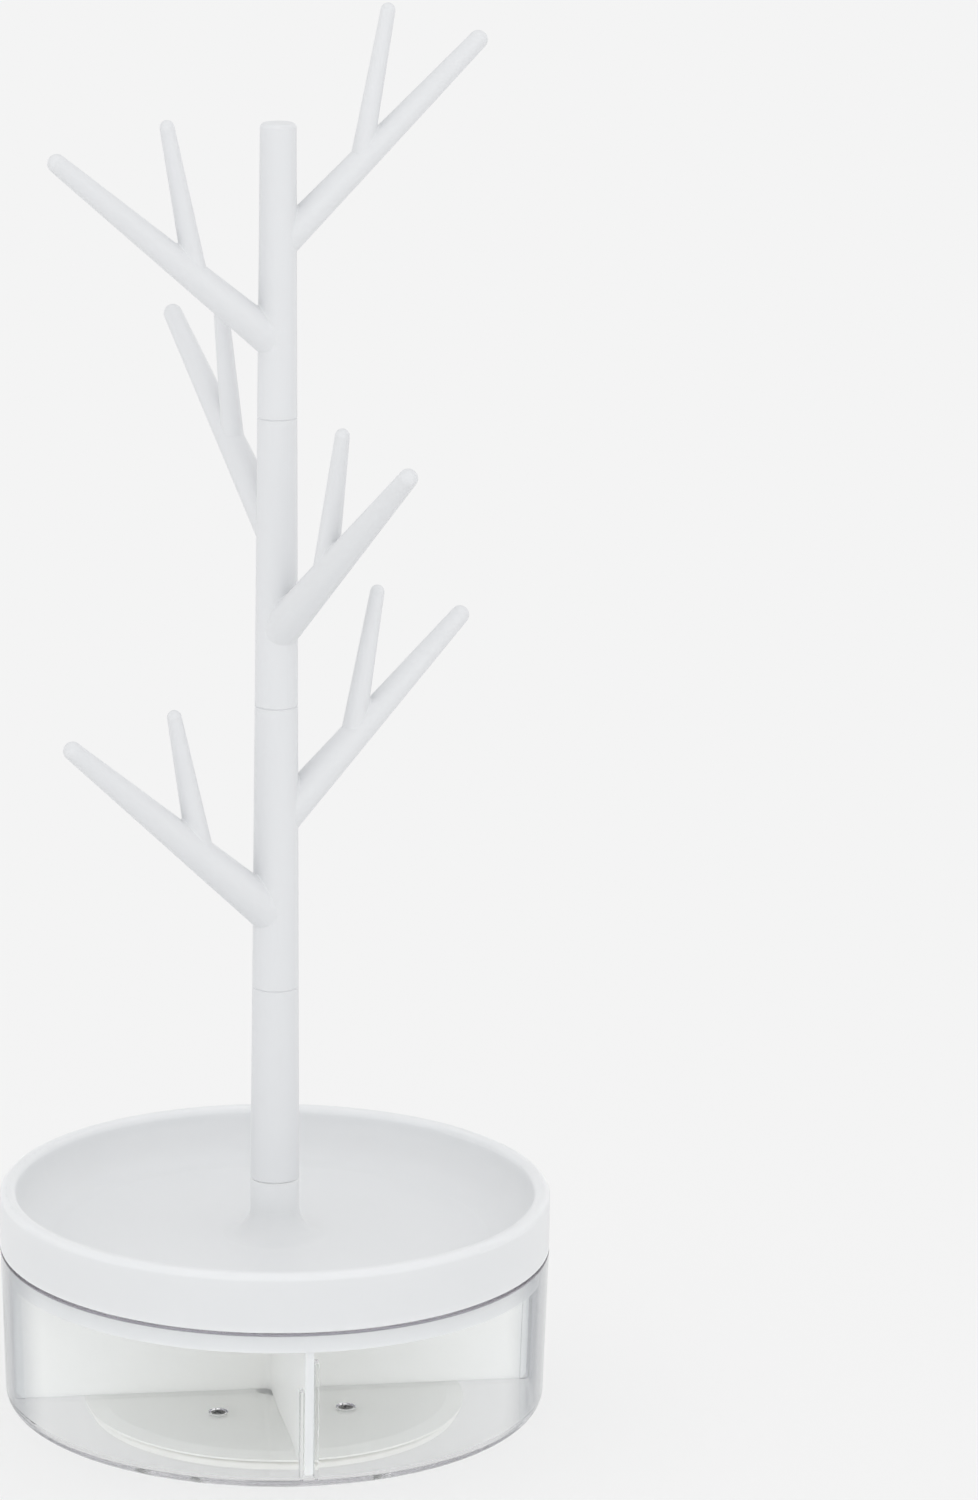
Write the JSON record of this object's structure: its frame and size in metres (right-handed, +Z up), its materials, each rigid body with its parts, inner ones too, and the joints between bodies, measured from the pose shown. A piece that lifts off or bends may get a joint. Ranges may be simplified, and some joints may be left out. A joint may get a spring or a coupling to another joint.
{
  "type": "jewellery stand",
  "caption": "Tree-shaped jewellery stand: forked pegs on a turning trunk, over a round lift-off tray and a clear divided box that spins on a ball-race foot.",
  "frame": {"origin": "on the stand's vertical axis, at the surface that its rubber pads stand on", "axes": "+Z up along the trunk; +X to the right and +Y to the back of the front view; the upper pegs of the top tier point near +X"},
  "size_m": [0.15, 0.15, 0.3864],
  "materials": {
    "white_plastic": "satin moulded",
    "clear_plastic": "clear polished",
    "foot_plastic": "fine matte",
    "cage_plastic": "natural nylon",
    "pad_rubber": "matte",
    "steel": "plain",
    "bearing_steel": "ground and polished"
  },
  "bodies": {
    "foot": {"foot_plate": "foot_plastic", "foot_pad_1": "pad_rubber", "foot_pad_2": "pad_rubber", "foot_pad_3": "pad_rubber", "foot_pad_4": "pad_rubber", "foot_pad_5": "pad_rubber", "foot_pad_6": "pad_rubber"},
    "cage": {"ball_cage": "cage_plastic", "bearing_ball_01": "bearing_steel", "bearing_ball_02": "bearing_steel", "bearing_ball_03": "bearing_steel", "bearing_ball_04": "bearing_steel", "bearing_ball_05": "bearing_steel", "bearing_ball_06": "bearing_steel", "bearing_ball_07": "bearing_steel", "bearing_ball_08": "bearing_steel", "bearing_ball_09": "bearing_steel", "bearing_ball_10": "bearing_steel", "bearing_ball_11": "bearing_steel", "bearing_ball_12": "bearing_steel", "bearing_ball_13": "bearing_steel", "bearing_ball_14": "bearing_steel", "bearing_ball_15": "bearing_steel", "bearing_ball_16": "bearing_steel"},
    "box": {"turntable_plate": "foot_plastic", "pivot_pin": "steel", "pivot_washer": "steel", "floor_screws": "steel", "clear_box": "clear_plastic", "divider_insert": "white_plastic"},
    "tray": {"tray": "white_plastic"},
    "post": {"trunk_post": "white_plastic"},
    "lower_tier": {"lower_tier": "white_plastic"},
    "middle_tier": {"middle_tier": "white_plastic"},
    "upper_tier": {"upper_tier": "white_plastic"}
  },
  "joints": [
    {"name": "base_spin", "type": "hinge", "parent": "foot", "child": "box", "pos_m": [0, 0, 0.0031], "axis": [0, 0, 1], "continuous": true},
    {"name": "cage_spin", "type": "hinge", "parent": "foot", "child": "cage", "pos_m": [0, 0, 0.0031], "axis": [0, 0, 1], "continuous": true},
    {"name": "tray_lift", "type": "slide", "parent": "box", "child": "tray", "axis": [0, 0, 1], "range_m": [0, 0.06]},
    {"name": "post_turn", "type": "hinge", "parent": "tray", "child": "post", "pos_m": [0, 0, 0.0678], "axis": [0, 0, 1], "continuous": true},
    {"name": "lower_tier_turn", "type": "hinge", "parent": "post", "child": "lower_tier", "pos_m": [0, 0, 0.1218], "axis": [0, 0, 1], "continuous": true},
    {"name": "middle_tier_turn", "type": "hinge", "parent": "lower_tier", "child": "middle_tier", "pos_m": [0, 0, 0.1999], "axis": [0, 0, 1], "continuous": true},
    {"name": "upper_tier_turn", "type": "hinge", "parent": "middle_tier", "child": "upper_tier", "pos_m": [0, 0, 0.278], "axis": [0, 0, 1], "continuous": true}
  ],
  "couplings": [
    {"joint": "cage_spin", "follows": "base_spin", "ratio": 0.5}
  ]
}
